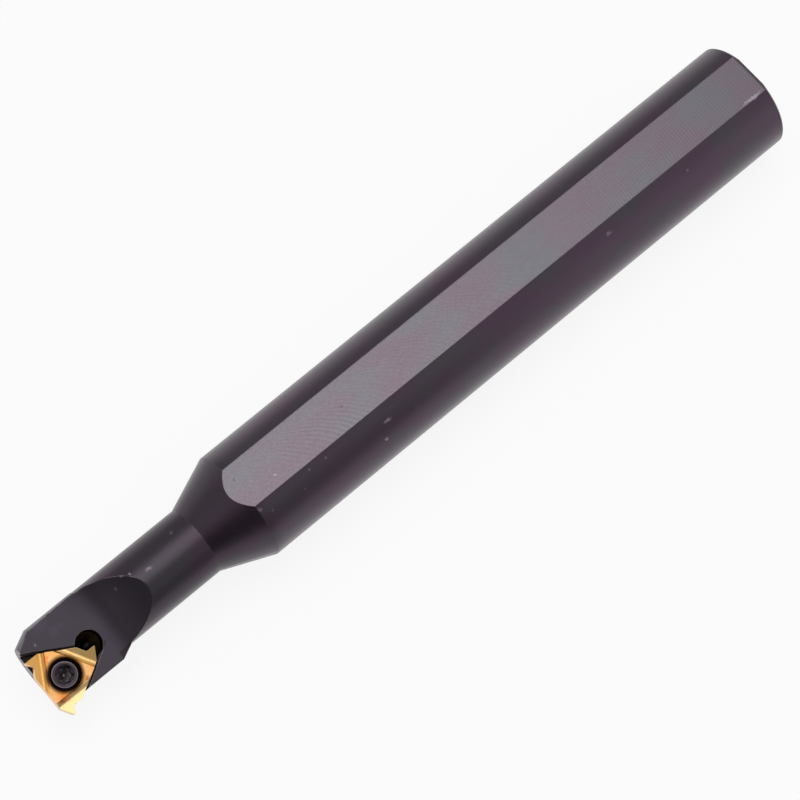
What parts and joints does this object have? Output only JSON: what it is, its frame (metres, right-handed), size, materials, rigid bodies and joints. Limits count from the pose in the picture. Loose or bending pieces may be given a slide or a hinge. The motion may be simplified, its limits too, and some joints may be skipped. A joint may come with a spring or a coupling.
{
  "type": "boring bar",
  "caption": "Round-shank boring bar with clamping flats, a slim neck, and a head that clamps a coated triangular threading insert with a countersunk screw.",
  "frame": {"origin": "centre of the shank's rear end face, on the bar axis", "axes": "+X along the bar axis towards the cutting end, +Y towards the cutting side, +Z out of the upper clamping flat"},
  "size_m": [0.1262, 0.016, 0.0146],
  "materials": {
    "black_oxide_steel": "satin black oxide on milled and turned steel",
    "coated_carbide": "gold nitride coating on ground carbide",
    "blackened_screw_steel": "blackened steel"
  },
  "bodies": {
    "root": {"bar_body": "black_oxide_steel", "threading_insert": "coated_carbide", "insert_screw": "blackened_screw_steel"}
  },
  "joints": []
}
